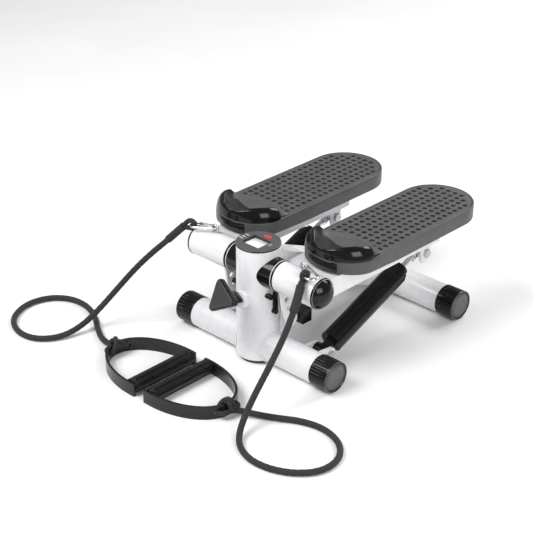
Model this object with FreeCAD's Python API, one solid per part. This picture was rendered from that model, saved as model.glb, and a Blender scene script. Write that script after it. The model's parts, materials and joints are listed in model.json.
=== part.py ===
"""Mini stair stepper: column, H-shaped base, two hinged pedals on hydraulic cylinders, and two pull ropes.

Millimetres. Origin: centre of the column's rubber foot on the floor. +X is the right side seen from the
front, +Y runs from the column towards the heel ends of the pedals, and +Z is up.
Every paired piece is modelled on the right side (+X) and mirrored in the plane X = 0.
"""
import FreeCAD, Part
import math
import os
from FreeCAD import Vector

# --- driving dimensions -------------------------------------------------------------------------
COLUMN_R = 35.0
COLUMN_WALL = 2.5
COLUMN_BOTTOM = 6.0
COLUMN_TOP = 199.5
DISPLAY_TOP = 203.0

TUBE_R = 25.0                  # base cross tubes and pivot tubes are all 50 mm tube
TUBE_WALL = 2.0
BASE_Z = 26.0                  # height of both base cross tubes
REAR_Y = 315.0
CAP_R = 26.0
CAP_INNER_X = 131.0
BASE_HALF_WIDTH = 166.0
TUBE_END_X = 158.0

STOP_BOLTS = ((-13.0, 124.0), (-2.0, 94.5))   # Y, Z of the two bolts in each side of the column
STOP_STRIP = (-4.0, 4.0, 96.0, 128.0)         # Y and Z ranges of the rubber strip beside them

PIVOT_Z = 160.0
PIVOT_INNER_X = 49.5
PIVOT_OUTER_X = 131.0
COLLAR_R = 24.5
COLLAR_FLARE_R = 27.5          # of a collar, where it is coped to the column
AXLE_R = 10.0
RUNNING_GAP = 0.05

BEAM_WIDTH = 40.0
BEAM_DEPTH = 50.0
BEAM_ANGLE = 22.8              # degrees that the beam falls towards the rear
BEAM_AXIS_Z0 = 168.0           # height of the beam's centre line at Y = 0

PEDAL_X = 98.0
PEDAL_WIDTH = 125.0
PEDAL_TOE_Y = 34.0
PEDAL_HEEL_Y = 381.0
TOE_DEPTH = 50.0               # how far the rounded toe outline reaches along Y
PEDAL_BOTTOM = 173.5
DECK_TOP = 195.0
PEDAL_TOP = 198.0
TOE_RISE = 4.5                 # how far the tray's lower edge rises towards the toe
TOE_RISE_Y = 150.0
CUP_TOP = 219.0
CUP_END_Y = 118.0

ARM_WIDTH = 60.0
ARM_BOTTOM = 141.0
ARM_TOP = 173.0
ARM_END_Y = 296.0

LEVER_X = 60.0
LEVER_THICKNESS = 4.0
LEVER_NOSE = (12.0, 84.0)      # Y, Z of the lever's rounded end
LEVER_NOSE_R = 12.0
ROCKER_Y = 52.0
ROCKER_Z = (72.0, 92.0)
ROCKER_FACE = 26.0             # from the rocker's pin forward to the faces that the levers push on
ROCKER_PIN_R = 6.0

LOWER_PIN = (44.0, 27.0)       # Y, Z of the hydraulic cylinder's lower pin
UPPER_PIN = (279.0, 120.0)     # Y, Z of the rod's eye, at rest
PIN_R = 4.0
BARREL_R = 19.0
ROD_R = 4.5

KNOB_START = Vector(0, -35, 114)
KNOB_SLOPE = 25.0              # degrees that the adjusting screw rises towards the front
KNOB_CORNER = 29.5             # from the knob's centre to its corners
KNOB_ROUND = 6.0
KNOB_DISTANCE = 42.0           # from the column's front to the back of the knob's head
SCREW_R = 6.0

EYE_X = 95.0
EYE_Z = 192.5
ROPE_R = 5.0
HANDLE_HEIGHT = 22.0
HANDLE_BAND = 4.0
HANDLE_REACH = 108.0           # from the grip bar to the apex of the band
HANDLE_HALF = 67.0             # half of the distance across the band, along the grip bar
HANDLE_Y = -159.0
GRIP_R = 12.5
GRIP_LENGTH = 116.0
HANDLE_BAR_X = {"left": -58.0, "right": -16.0}
HANDLE_HOLE_Y = 19.0           # of the band's two holes, on each side of its apex
HANDLE_TAIL = 10.0             # how far the band runs on behind the grip bar

# Routes of the two ropes, from the carabiner to the apex of the handle, chosen by hand.
ROPES = {
    "left": [
        (-150, -17.5, 184), (-162, -22, 171), (-180, -31, 150), (-200, -45, 127), (-222, -63, 97),
        (-243, -88, 59), (-254, -121, 28), (-257, -158, 11), (-263, -195, 5.2), (-288, -227, 5),
        (-328, -233, 5), (-369, -212, 5), (-392, -168, 5), (-385, -124, 5), (-353, -97, 5),
        (-311, -95, 5), (-270, -113, 5), (-240, -134, 5), (-212, -150, 5.5), (-190, -156, 8),
        (-172, -159, 11),
    ],
    "right": [
        (113.5, -24, 183.5), (116, -31, 173), (120, -42, 158), (124, -60, 134), (127, -82, 108),
        (128, -109, 78), (130, -139, 49), (135, -167, 25), (146, -192, 9), (167, -213, 5),
        (199, -226, 5), (236, -223, 5), (270, -206, 5), (294, -176, 5), (294, -137, 5),
        (268, -105, 5), (226, -92, 5), (187, -101, 5), (157, -120, 5), (130, -136, 6.5),
        (110, -148, 9.5), (96, -157, 11),
    ],
}

X_AXIS = Vector(1, 0, 0)
Z_AXIS = Vector(0, 0, 1)
FAR = 400.0                    # longer than any piece, for cutting tools


# --- helpers ------------------------------------------------------------------------------------
def rod(radius, start, end):
    """A solid cylinder between two points."""
    along = end - start
    return Part.makeCylinder(radius, along.Length, start, along)


def pipe(outer, inner, start, end):
    return rod(outer, start, end).cut(rod(inner, start, end))


def x_rod(radius, x0, x1, y, z):
    return rod(radius, Vector(x0, y, z), Vector(x1, y, z))


def x_pipe(outer, inner, x0, x1, y, z):
    return pipe(outer, inner, Vector(x0, y, z), Vector(x1, y, z))


def block(x0, x1, y0, y1, z0, z1):
    return Part.makeBox(x1 - x0, y1 - y0, z1 - z0, Vector(x0, y0, z0))


def plate_xy(points, z0, z1):
    """A flat plate with a straight-sided outline in the XY plane."""
    corners = [Vector(x, y, z0) for x, y in points]
    face = Part.Face(Part.makePolygon(corners + corners[:1]))
    return face.extrude(Vector(0, 0, z1 - z0))


def plate_yz(points, x0, x1):
    corners = [Vector(x0, y, z) for y, z in points]
    face = Part.Face(Part.makePolygon(corners + corners[:1]))
    return face.extrude(Vector(x1 - x0, 0, 0))


def mirrored(shape):
    return shape.mirror(Vector(0, 0, 0), X_AXIS)


def both(shape):
    """The right-hand shape and its mirror image, as one group of separate solids."""
    return Part.makeCompound([shape, mirrored(shape)])


def column_solid():
    return Part.makeCylinder(COLUMN_R, FAR, Vector(0, 0, -FAR / 4))


def knob_direction():
    slope = math.radians(KNOB_SLOPE)
    return Vector(0, -math.cos(slope), math.sin(slope))


def on_screw(distance):
    """A point on the adjusting screw's axis, measured out of the column's front."""
    return KNOB_START + knob_direction() * distance


def cylinder_direction():
    along = Vector(0, UPPER_PIN[0] - LOWER_PIN[0], UPPER_PIN[1] - LOWER_PIN[1])
    return along.normalize()


def on_cylinder(distance):
    """A point on the hydraulic cylinder's axis, measured from its lower pin."""
    return Vector(PEDAL_X, *LOWER_PIN) + cylinder_direction() * distance


def pin_distance():
    return math.hypot(UPPER_PIN[0] - LOWER_PIN[0], UPPER_PIN[1] - LOWER_PIN[1])


# --- frame --------------------------------------------------------------------------------------
def column():
    shape = Part.makeCylinder(COLUMN_R, COLUMN_TOP - COLUMN_BOTTOM, Vector(0, 0, COLUMN_BOTTOM))
    rim = [e for e in shape.Edges if abs(e.BoundBox.ZMax - COLUMN_BOTTOM) < 0.01 and e.Closed]
    shape = shape.makeFillet(COLUMN_WALL * 0.9, rim)
    bore = COLUMN_R - COLUMN_WALL
    shape = shape.cut(Part.makeCylinder(bore, FAR, Vector(0, 0, COLUMN_BOTTOM - 1)))
    shape = shape.cut(x_rod(AXLE_R, -FAR, FAR, 0, PIVOT_Z))
    shape = shape.cut(rod(13, on_screw(-25), on_screw(20)))
    shape = shape.cut(rod(SCREW_R + 1, on_screw(-100), on_screw(-50)))
    for y, z in STOP_BOLTS:
        shape = shape.cut(x_rod(3, -FAR, FAR, y, z))
    return shape


def column_foot():
    """Rubber plug that closes the column and stands on the floor."""
    bore = COLUMN_R - COLUMN_WALL
    pad = Part.makeCylinder(30, COLUMN_BOTTOM, Vector(0, 0, 0))
    plug = Part.makeCylinder(bore, 12, Vector(0, 0, COLUMN_BOTTOM))
    hollow = Part.makeCylinder(bore - 6, 12, Vector(0, 0, COLUMN_BOTTOM + 4))
    return pad.fuse(plug).cut(hollow).removeSplitter()


def cross_tube(y):
    return x_pipe(TUBE_R, TUBE_R - TUBE_WALL, -TUBE_END_X, TUBE_END_X, y, BASE_Z)


def front_cross_tube():
    return cross_tube(0).cut(column_solid())


def beam_block(width, depth):
    length = FAR
    box = Part.makeBox(width, length, depth, Vector(-width / 2, 0, -depth / 2))
    box.rotate(Vector(0, 0, 0), X_AXIS, -BEAM_ANGLE)
    box.translate(Vector(0, 0, BEAM_AXIS_Z0))
    return box


def frame_beam():
    """Rectangular tube that falls from the column's back to the rear cross tube."""
    shape = beam_block(BEAM_WIDTH, BEAM_DEPTH).cut(beam_block(BEAM_WIDTH - 4, BEAM_DEPTH - 4))
    shape = shape.cut(column_solid())
    shape = shape.cut(x_rod(TUBE_R, -FAR, FAR, REAR_Y, BASE_Z))
    shape = shape.cut(block(-FAR, FAR, REAR_Y, 2 * FAR, -FAR, FAR))
    return max(shape.Solids, key=lambda s: s.Volume)


def base_cap(y):
    cap = x_rod(CAP_R, CAP_INNER_X, BASE_HALF_WIDTH, y, BASE_Z)
    return cap.cut(x_rod(TUBE_R, CAP_INNER_X - 1, TUBE_END_X, y, BASE_Z))


def cylinder_brackets():
    """Two pairs of ears, welded to the back of the front cross tube, that hold the cylinders' lower pins."""
    y, z = LOWER_PIN
    outline = [(10, z - 12), (y, z - 12), (y, z + 12), (10, z + 16)]
    ears = []
    for offset in (-17.0, 13.0):
        x0 = PEDAL_X + offset
        ear = plate_yz(outline, x0, x0 + 4).fuse(x_rod(12, x0, x0 + 4, y, z))
        ear = ear.cut(x_rod(PIN_R, x0 - 1, x0 + 5, y, z))
        ears.append(ear.cut(x_rod(TUBE_R, -FAR, FAR, 0, BASE_Z)).removeSplitter())
    right = Part.makeCompound(ears)
    return both(right)


def rocker_bracket():
    """Clevis of two plates behind the column that carries the rocker's pin."""
    plates = []
    for z0 in (ROCKER_Z[0] - 4.5, ROCKER_Z[1] + 0.5):
        plate = block(-14, 14, 0, ROCKER_Y, z0, z0 + 4)
        plate = plate.fuse(Part.makeCylinder(14, 4, Vector(0, ROCKER_Y, z0)))
        plate = plate.cut(Part.makeCylinder(ROCKER_PIN_R, 10, Vector(0, ROCKER_Y, z0 - 1)))
        plates.append(plate.cut(column_solid()).removeSplitter())
    return Part.makeCompound(plates)


def knob_boss():
    boss = pipe(13, SCREW_R + RUNNING_GAP, on_screw(-12), on_screw(9))
    return boss


def pivot_axle():
    return x_rod(AXLE_R, -136, 136, 0, PIVOT_Z)


def pivot_collars():
    """Two saddle-ended sleeves between the column and the pivot tubes."""
    start, length = Vector(20, 0, PIVOT_Z), PIVOT_INNER_X - 20.5
    collar = Part.makeCone(COLLAR_FLARE_R, COLLAR_R, length, start, X_AXIS)
    collar = collar.cut(x_rod(AXLE_R, 0, FAR, 0, PIVOT_Z))
    return both(collar.cut(column_solid()))


def hexagon(size, x0, x1, y, z):
    """A hexagonal head or nut along X, size across flats."""
    corner = size / math.sqrt(3)
    angles = [math.radians(60 * i) for i in range(6)]
    return plate_yz([(y + corner * math.cos(a), z + corner * math.sin(a)) for a in angles], x0, x1)


def stop_bolts():
    """Two black bolts and a rubber strip on each side of the column, where the lever's plate swings past."""
    y0, y1, z0, z1 = STOP_STRIP
    shape = block(COLUMN_R - 3, COLUMN_R + 3.5, y0, y1, z0, z1).cut(column_solid())
    for y, z in STOP_BOLTS:
        shank = x_rod(3, 28, COLUMN_R, y, z)
        head = x_rod(4.5, COLUMN_R - 5, COLUMN_R + 6.5, y, z).cut(column_solid())
        shape = shape.fuse([shank, head])
    return both(shape.removeSplitter())


def frame_fasteners():
    """Axle washers and nuts, the rocker's pin and the cylinders' lower pins."""
    washer = x_pipe(16, AXLE_R, 131.4, 133.0, 0, PIVOT_Z)
    nut = hexagon(28, 133, 136, 0, PIVOT_Z).cut(x_rod(AXLE_R, 130, 140, 0, PIVOT_Z))
    right = [washer, nut]
    y, z = LOWER_PIN
    pin = x_rod(PIN_R, PEDAL_X - 19, PEDAL_X + 19, y, z)
    heads = [hexagon(13, PEDAL_X + s, PEDAL_X + s + 5, y, z) for s in (-22, 17)]
    right.append(pin.fuse(heads).removeSplitter())
    rocker_pin = Part.makeCylinder(ROCKER_PIN_R, 34, Vector(0, ROCKER_Y, ROCKER_Z[0] - 7))
    rocker_head = Part.makeCylinder(9, 3, Vector(0, ROCKER_Y, ROCKER_Z[1] + 4.5))
    pairs = [s for shape in right for s in (shape, mirrored(shape))]
    return Part.makeCompound(pairs + [rocker_pin.fuse(rocker_head).removeSplitter()])


# --- display ------------------------------------------------------------------------------------
WINDOW = (-19.5, 16.5, -17.5, 12.5)          # x0, x1, y0, y1 of the display's window
WINDOW_DEPTH = 5.5
DISPLAY_DECK = 4.5             # thickness of the plate under the disc
BUTTON_Y = 20.5
BUTTON_HALF_LENGTH = 3.5
BUTTON_R = 4.3


def pill(radius, half_length, z0, z1):
    """A round-ended block along X, at the reset button's place."""
    middle = block(-half_length, half_length, BUTTON_Y - radius, BUTTON_Y + radius, z0, z1)
    ends = [Part.makeCylinder(radius, z1 - z0, Vector(s * half_length, BUTTON_Y, z0)) for s in (-1, 1)]
    return middle.fuse(ends).removeSplitter()


def display_housing():
    x0, x1, y0, y1 = WINDOW
    disc = Part.makeCylinder(COLUMN_R + 0.5, DISPLAY_TOP - COLUMN_TOP, Vector(0, 0, COLUMN_TOP))
    skirt_r = COLUMN_R - COLUMN_WALL - 0.1
    deck = Part.makeCylinder(skirt_r, DISPLAY_DECK, Vector(0, 0, COLUMN_TOP - DISPLAY_DECK))
    skirt = Part.makeCylinder(skirt_r, 14, Vector(0, 0, COLUMN_TOP - 14))
    skirt = skirt.cut(Part.makeCylinder(skirt_r - 2.5, 11, Vector(0, 0, COLUMN_TOP - 14)))
    shape = disc.fuse([deck, skirt]).removeSplitter()
    shape = shape.cut(block(x0, x1, y0, y1, COLUMN_TOP - 20, DISPLAY_TOP + 1))
    return shape.cut(pill(BUTTON_R + 0.3, BUTTON_HALF_LENGTH, 196.0, DISPLAY_TOP + 1))


def display_module():
    """Liquid-crystal panel on its circuit board, under the window."""
    x0, x1, y0, y1 = WINDOW
    top = DISPLAY_TOP - WINDOW_DEPTH
    deck_bottom = COLUMN_TOP - DISPLAY_DECK
    panel = block(x0 + 0.2, x1 - 0.2, y0 + 0.2, y1 - 0.2, deck_bottom, top)
    board = block(x0 - 2, x1 + 2, y0 - 2, y1 + 2, deck_bottom - 2, deck_bottom)
    return panel.fuse(board).removeSplitter()


def reset_button():
    return pill(BUTTON_R, BUTTON_HALF_LENGTH, 198.0, DISPLAY_TOP + 1.0)


# --- rocker and adjusting knob ------------------------------------------------------------------
def rocker_beam():
    """Equaliser behind the column. Its two forward arms are pushed in turn by the levers."""
    z0, z1 = ROCKER_Z
    face = ROCKER_Y - ROCKER_FACE
    points = [(-72, face), (-49, face), (-49, 46), (49, 46), (49, face), (72, face), (72, 46), (60, 60)]
    points += [(-60, 60), (-72, 46)]
    shape = plate_xy(points, z0, z1)
    shape = shape.fuse(Part.makeCylinder(13, z1 - z0, Vector(0, ROCKER_Y, z0)))
    hole = Part.makeCylinder(ROCKER_PIN_R + RUNNING_GAP, 40, Vector(0, ROCKER_Y, z0 - 10))
    return shape.cut(hole).removeSplitter()


def adjust_screw():
    return rod(SCREW_R, on_screw(-74), on_screw(KNOB_DISTANCE + 5))


def adjust_knob():
    """Rounded triangular head on a round hub, fixed on the screw."""
    outline = []
    for i in range(3):
        angle = math.radians(120 * i)
        reach = KNOB_CORNER - KNOB_ROUND
        outline.append(Vector(reach * math.cos(angle), reach * math.sin(angle), 0))
    triangle = Part.makePolygon(outline + outline[:1])
    face = Part.Face(triangle.makeOffset2D(KNOB_ROUND))
    head = face.extrude(Vector(0, 0, 20))
    hub = Part.makeCylinder(11, 31, Vector(0, 0, -30))
    knob = head.fuse(hub).removeSplitter()
    knob.Placement = FreeCAD.Placement(on_screw(KNOB_DISTANCE), FreeCAD.Rotation(Z_AXIS, knob_direction()))
    return knob.cut(rod(SCREW_R, on_screw(0), on_screw(KNOB_DISTANCE + 5)))


# --- one pedal, on the right --------------------------------------------------------------------
def pivot_tube():
    return x_pipe(TUBE_R, TUBE_R - 2.5, PIVOT_INNER_X, PIVOT_OUTER_X, 0, PIVOT_Z)


def pivot_bushings():
    spans = [(PIVOT_INNER_X + 1, PIVOT_INNER_X + 13), (PIVOT_OUTER_X - 19, PIVOT_OUTER_X - 7)]
    rings = [x_pipe(TUBE_R - 2.5, AXLE_R + RUNNING_GAP, x0, x1, 0, PIVOT_Z) for x0, x1 in spans]
    return Part.makeCompound(rings)


def dome(radius, x0, height):
    """A solid cap of a sphere that starts at x0 and bulges along +X."""
    ball_r = (radius ** 2 + height ** 2) / (2 * height)
    ball = Part.makeSphere(ball_r, Vector(x0 + height - ball_r, 0, PIVOT_Z))
    return ball.common(x_rod(radius, x0, x0 + height + 1, 0, PIVOT_Z))


def end_cap():
    """Hollow domed cap over the pivot tube's outer end."""
    rim = x_rod(COLLAR_R, PIVOT_OUTER_X, PIVOT_OUTER_X + 3, 0, PIVOT_Z)
    outer = rim.fuse(dome(COLLAR_R, PIVOT_OUTER_X + 3, 13.5))
    cavity = x_rod(COLLAR_R - 2.5, PIVOT_OUTER_X - 1, PIVOT_OUTER_X + 3, 0, PIVOT_Z)
    cavity = cavity.fuse(dome(COLLAR_R - 2.5, PIVOT_OUTER_X + 3, 11))
    plug = x_pipe(TUBE_R - 2.5, TUBE_R - 4.5, PIVOT_OUTER_X - 6, PIVOT_OUTER_X, 0, PIVOT_Z)
    return outer.cut(cavity).fuse(plug).removeSplitter()


def pedal_arm():
    """Rectangular tube under the pedal, with a wing that widens it towards the column."""
    x0, x1 = PEDAL_X - ARM_WIDTH / 2, PEDAL_X + ARM_WIDTH / 2
    outer = block(x0, x1, 10, ARM_END_Y, ARM_BOTTOM, ARM_TOP)
    wing = plate_xy([(38, 15), (x0, 15), (x0, 112), (38, 74)], ARM_TOP - 5, ARM_TOP)
    shape = outer.fuse(wing)
    inner = block(x0 + 2.5, x1 - 2.5, 30, ARM_END_Y - 3, ARM_BOTTOM + 2.5, ARM_TOP - 2.5)
    shape = shape.cut(inner)
    shape = shape.cut(x_rod(TUBE_R, 0, FAR, 0, PIVOT_Z))
    shape = shape.cut(x_rod(TUBE_R + 1, 0, PIVOT_INNER_X + 0.5, 0, PIVOT_Z))
    return max(shape.Solids, key=lambda s: s.Volume).removeSplitter()


def lever_plate():
    """Plate under the pivot tube. Its rounded end pushes on the rocker."""
    y, z = LEVER_NOSE
    x0, x1 = LEVER_X - LEVER_THICKNESS / 2, LEVER_X + LEVER_THICKNESS / 2
    outline = [(-15, 145), (-10, 110), (y - 11.5, z - 2), (y + 11.5, z - 2), (18, 100), (24, 125), (26, 145)]
    plate = plate_yz(outline, x0, x1).fuse(x_rod(LEVER_NOSE_R, x0, x1, y, z))
    plate = plate.cut(x_rod(TUBE_R, x0 - 1, x1 + 1, 0, PIVOT_Z))
    for hole_r, hole_y, hole_z in ((4.5, -1, 123), (3.5, 3, 106), (5.0, y, z)):
        plate = plate.cut(x_rod(hole_r, x0 - 1, x1 + 1, hole_y, hole_z))
    return plate.removeSplitter()


def rod_bracket():
    """Two tabs under the arm that hold the rod's eye."""
    y, z = UPPER_PIN
    tabs = []
    for offset in (-16.0, 12.0):
        x0 = PEDAL_X + offset
        tab = block(x0, x0 + 4, y - 13, y + 11, z - 6, ARM_BOTTOM)
        tab = tab.fuse(x_rod(12, x0, x0 + 4, y - 1, z - 6))
        tabs.append(tab.cut(x_rod(PIN_R, x0 - 1, x0 + 5, y, z)).removeSplitter())
    return Part.makeCompound(tabs)


def pedal_outline(inset, z):
    """Closed outline of the pedal: half an ellipse at the toe, straight sides and half a circle at the heel."""
    half = PEDAL_WIDTH / 2 - inset
    toe = Vector(PEDAL_X, PEDAL_TOE_Y + TOE_DEPTH, z)
    heel = Vector(PEDAL_X, PEDAL_HEEL_Y - PEDAL_WIDTH / 2, z)
    ellipse = Part.Ellipse(toe, half, TOE_DEPTH - inset)
    toe_arc = Part.ArcOfEllipse(ellipse, math.pi, 2 * math.pi).toShape()
    heel_arc = Part.Arc(heel + Vector(half, 0, 0), heel + Vector(0, half, 0), heel - Vector(half, 0, 0))
    side = Vector(half, 0, 0)
    edges = [toe_arc, Part.LineSegment(toe + side, heel + side).toShape(), heel_arc.toShape()]
    edges.append(Part.LineSegment(heel - side, toe - side).toShape())
    return Part.Wire(Part.__sortEdges__(edges))


def pedal_slab(inset, z0, z1):
    return Part.Face(pedal_outline(inset, z0)).extrude(Vector(0, 0, z1 - z0))


def pedal_base():
    """Moulded tray: skirt and deck, with ribs below the deck."""
    tray = pedal_slab(0, PEDAL_BOTTOM, DECK_TOP).cut(pedal_slab(3, PEDAL_BOTTOM - 1, DECK_TOP - 3))
    ribs = []
    for y in (90, 150, 210, 270, 330):
        ribs.append(block(PEDAL_X - 60, PEDAL_X + 60, y, y + 3, PEDAL_BOTTOM, DECK_TOP - 2))
    for x in (PEDAL_X - 25, PEDAL_X + 22):
        ribs.append(block(x, x + 3, 60, 355, PEDAL_BOTTOM, DECK_TOP - 2))
    wedge = [(0, PEDAL_BOTTOM - 1), (TOE_RISE_Y, PEDAL_BOTTOM - 1), (TOE_RISE_Y, PEDAL_BOTTOM)]
    wedge += [(PEDAL_TOE_Y, PEDAL_BOTTOM + TOE_RISE), (0, PEDAL_BOTTOM + TOE_RISE)]
    return tray.fuse(ribs).cut(plate_yz(wedge, 0, FAR)).removeSplitter()


def toe_zone(z0, z1):
    return block(0, 2 * PEDAL_X + 20, 0, CUP_END_Y, z0, z1)


def pedal_grip():
    grip = pedal_slab(2.5, DECK_TOP, PEDAL_TOP)
    return grip.cut(toe_zone(0, FAR))


def toe_cup():
    """Raised hood round the toe, scooped on its inner side and falling to an ear at each side."""
    cup = pedal_slab(0, DECK_TOP, CUP_TOP).common(toe_zone(0, FAR))
    rim = pedal_slab(7, DECK_TOP + 10, CUP_TOP).common(toe_zone(0, FAR))
    cup = cup.common(pedal_slab(0, DECK_TOP, DECK_TOP + 10).fuse(rim))
    scoop = pedal_slab(20, PEDAL_TOP, CUP_TOP + 5).common(block(0, FAR, PEDAL_TOE_Y + 34, FAR, 0, FAR))
    cup = cup.cut(scoop)
    slope = plate_yz([(92, CUP_TOP + 1), (CUP_END_Y + 1, CUP_TOP + 1), (CUP_END_Y + 1, PEDAL_TOP + 1)], 0, 200)
    front = plate_yz([(20, 208), (60, CUP_TOP + 1), (20, CUP_TOP + 1)], 0, 200)
    return max(cup.cut(slope).cut(front).Solids, key=lambda s: s.Volume)


def pedal_fasteners():
    """The rod eye's bolt and nut, and the four screws that hold the pedal tray to the arm."""
    y, z = UPPER_PIN
    bolt = x_rod(PIN_R, PEDAL_X - 19, PEDAL_X + 19, y, z)
    heads = [hexagon(13, PEDAL_X + s, PEDAL_X + s + 5, y, z) for s in (-21, 16)]
    group = [bolt.fuse(heads).removeSplitter()]
    for x, sy in ((-45, 315), (45, 315), (-45, 120), (45, 120)):
        washer = Part.makeCylinder(6, 2.5, Vector(PEDAL_X + x, sy, PEDAL_BOTTOM - 1))
        shank = Part.makeCylinder(2.5, DECK_TOP - 3 - PEDAL_BOTTOM, Vector(PEDAL_X + x, sy, PEDAL_BOTTOM))
        group.append(washer.fuse(shank).removeSplitter())
    return Part.makeCompound(group)


def rope_eye():
    """Welded ring on top of the pivot tube."""
    ring = Part.makeTorus(5.6, 2.0, Vector(EYE_X, 0, EYE_Z), Vector(0, 1, 0))
    foot = Part.makeCylinder(3.5, 5, Vector(EYE_X, 0, PIVOT_Z + TUBE_R - 1.5))
    foot = foot.cut(x_rod(TUBE_R, 0, FAR, 0, PIVOT_Z))
    return ring.fuse(foot).removeSplitter()


# --- carabiner: a flat loop, drawn in its own plane and then placed --------------------------------
CARABINER_LENGTH = 46.0
CARABINER_WIDE = 9.5           # half width of the loop's centre line at the rope's end
CARABINER_NARROW = 5.0         # and at the eye's end
CARABINER_R = 2.1
CARABINER_DROP = {"left": 5.0, "right": 0.0}       # degrees that it slopes down, away from the eye
CARABINER_TURN = {"left": -16.0, "right": -30.0}   # its heading in degrees from the outward side, towards the back
CARABINER_SEAT_Y = {"left": 1.5, "right": 2.4}     # how far its narrow end sits behind the eye's plane, clear of the ring
GATE_R = 1.7
GATE_SPAN = (12.0, 35.0)
HINGE_GAP = 1.2


def tangent_point(centre_x, radius, side):
    """Where a straight side of the loop meets one of its two round ends."""
    spread = CARABINER_WIDE - CARABINER_NARROW
    slope = math.asin(spread / (CARABINER_LENGTH - CARABINER_WIDE - CARABINER_NARROW))
    return Vector(centre_x - radius * math.sin(slope), side * radius * math.cos(slope), 0)


def narrow_point(side):
    return tangent_point(CARABINER_NARROW, CARABINER_NARROW, side)


def wide_point(side):
    return tangent_point(CARABINER_LENGTH - CARABINER_WIDE, CARABINER_WIDE, side)


def on_gate_side(distance):
    """A point on the straight side that the gate closes, at a distance from the loop's eye end."""
    start, end = narrow_point(1), wide_point(1)
    return start + (end - start) * ((distance - start.x) / (end.x - start.x))


def swept(radius, edges, start, tangent):
    section = Part.Wire(Part.makeCircle(radius, start, tangent))
    return Part.Wire(edges).makePipeShell([section], True, False, 1)


def carabiner_loop():
    """Open hook: a narrow bend at the eye, a closed side, a wide bend at the rope and a gap for the gate."""
    g0, g1 = (on_gate_side(distance) for distance in GATE_SPAN)
    edges = [
        Part.LineSegment(g0, narrow_point(1)).toShape(),
        Part.Arc(narrow_point(1), Vector(0, 0, 0), narrow_point(-1)).toShape(),
        Part.LineSegment(narrow_point(-1), wide_point(-1)).toShape(),
        Part.Arc(wide_point(-1), Vector(CARABINER_LENGTH, 0, 0), wide_point(1)).toShape(),
        Part.LineSegment(wide_point(1), g1).toShape(),
    ]
    return swept(CARABINER_R, edges, g0, narrow_point(1) - g0)


def carabiner_gate():
    """The sprung bar across the gap. It hinges at its eye end."""
    bar = rod(GATE_R, on_gate_side(GATE_SPAN[0] + HINGE_GAP), on_gate_side(GATE_SPAN[1] - 0.5))
    hinge = on_gate_side(GATE_SPAN[0] + HINGE_GAP + 1.0)
    knuckle = Part.makeCylinder(1.9, 3.8, hinge - Vector(0, 0, 1.9))
    return bar.fuse(knuckle).removeSplitter()


def place_carabiner(shape, side):
    """Puts a right-hand carabiner at the eye, with the heading of the side it is meant for."""
    placed = shape.copy()
    placed.rotate(Vector(0, 0, 0), Vector(0, 1, 0), CARABINER_DROP[side])
    placed.rotate(Vector(0, 0, 0), Z_AXIS, CARABINER_TURN[side])
    placed.translate(Vector(EYE_X - 0.8, CARABINER_SEAT_Y[side], EYE_Z + 0.3))
    return placed


# --- hydraulic cylinder, on the right ---------------------------------------------------------------
def eye_barrel(radius, half_width, centre, hole_r):
    return x_pipe(radius, hole_r, centre.x - half_width, centre.x + half_width, centre.y, centre.z)


def cylinder_barrel():
    lower = on_cylinder(0)
    shape = rod(BARREL_R, on_cylinder(22), on_cylinder(192))
    neck = rod(9, on_cylinder(0), on_cylinder(24))
    shape = shape.fuse([neck, x_rod(11, lower.x - 12, lower.x + 12, lower.y, lower.z)])
    shape = shape.cut(rod(BARREL_R - 4, on_cylinder(32), on_cylinder(200)))
    shape = shape.cut(x_rod(PIN_R + RUNNING_GAP, lower.x - 20, lower.x + 20, lower.y, lower.z))
    return shape.removeSplitter()


def cylinder_gland():
    """Stepped head that closes the barrel and guides the rod."""
    plug = rod(BARREL_R - 4, on_cylinder(180), on_cylinder(192))
    flange = rod(BARREL_R - 2.5, on_cylinder(192), on_cylinder(198))
    nose = rod(12.5, on_cylinder(198), on_cylinder(206))
    shape = plug.fuse([flange, nose])
    return shape.cut(rod(ROD_R + RUNNING_GAP, on_cylinder(170), on_cylinder(220))).removeSplitter()


def piston_rod():
    """Chromed rod with its piston and its eye. The eye's hole is wide enough for the bolt at every pose."""
    reach = pin_distance()
    shaft = rod(ROD_R, on_cylinder(110), on_cylinder(reach - 9))
    piston = rod(BARREL_R - 4 - RUNNING_GAP, on_cylinder(106), on_cylinder(116))
    shoulder = rod(8, on_cylinder(reach - 21), on_cylinder(reach - 9))
    eye = eye_barrel(11, 9, on_cylinder(reach), 7)
    hole = x_rod(7, PEDAL_X - 20, PEDAL_X + 20, *UPPER_PIN)
    return shaft.fuse([piston, shoulder, eye]).cut(hole).removeSplitter()


# --- ropes and handles --------------------------------------------------------------------------
def rope(side):
    """Tube along the route: straight runs joined by tangent arcs as large as the runs allow."""
    points = [Vector(*p) for p in ROPES[side]]
    edges, radii = [], []
    last = points[0]
    for before, corner, after in zip(points, points[1:], points[2:]):
        into, out = corner - before, after - corner
        turn = into.getAngle(out)
        shorter = min(into.Length, out.Length)
        trim = 0.45 * shorter
        radii.append(trim / math.tan(turn / 2))
        start = corner - into.normalize() * trim
        end = corner + out.normalize() * trim
        bisector = (end + start) * 0.5 - corner
        centre_distance = math.hypot(radii[-1], trim)
        middle = corner + bisector.normalize() * (centre_distance - radii[-1])
        edges.append(Part.LineSegment(last, start).toShape())
        edges.append(Part.Arc(start, middle, end).toShape())
        last = end
    edges.append(Part.LineSegment(last, points[-1]).toShape())
    wire = Part.Wire(edges)
    tube = swept(ROPE_R, edges, points[0], points[1] - points[0])
    share = tube.Volume / (wire.Length * math.pi * ROPE_R ** 2)
    print(side, "rope", round(wire.Length), "mm, smallest radius", round(min(radii)), "volume", round(share, 3))
    return tube


def handle_direction(side):
    return -1 if side == "left" else 1


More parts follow.
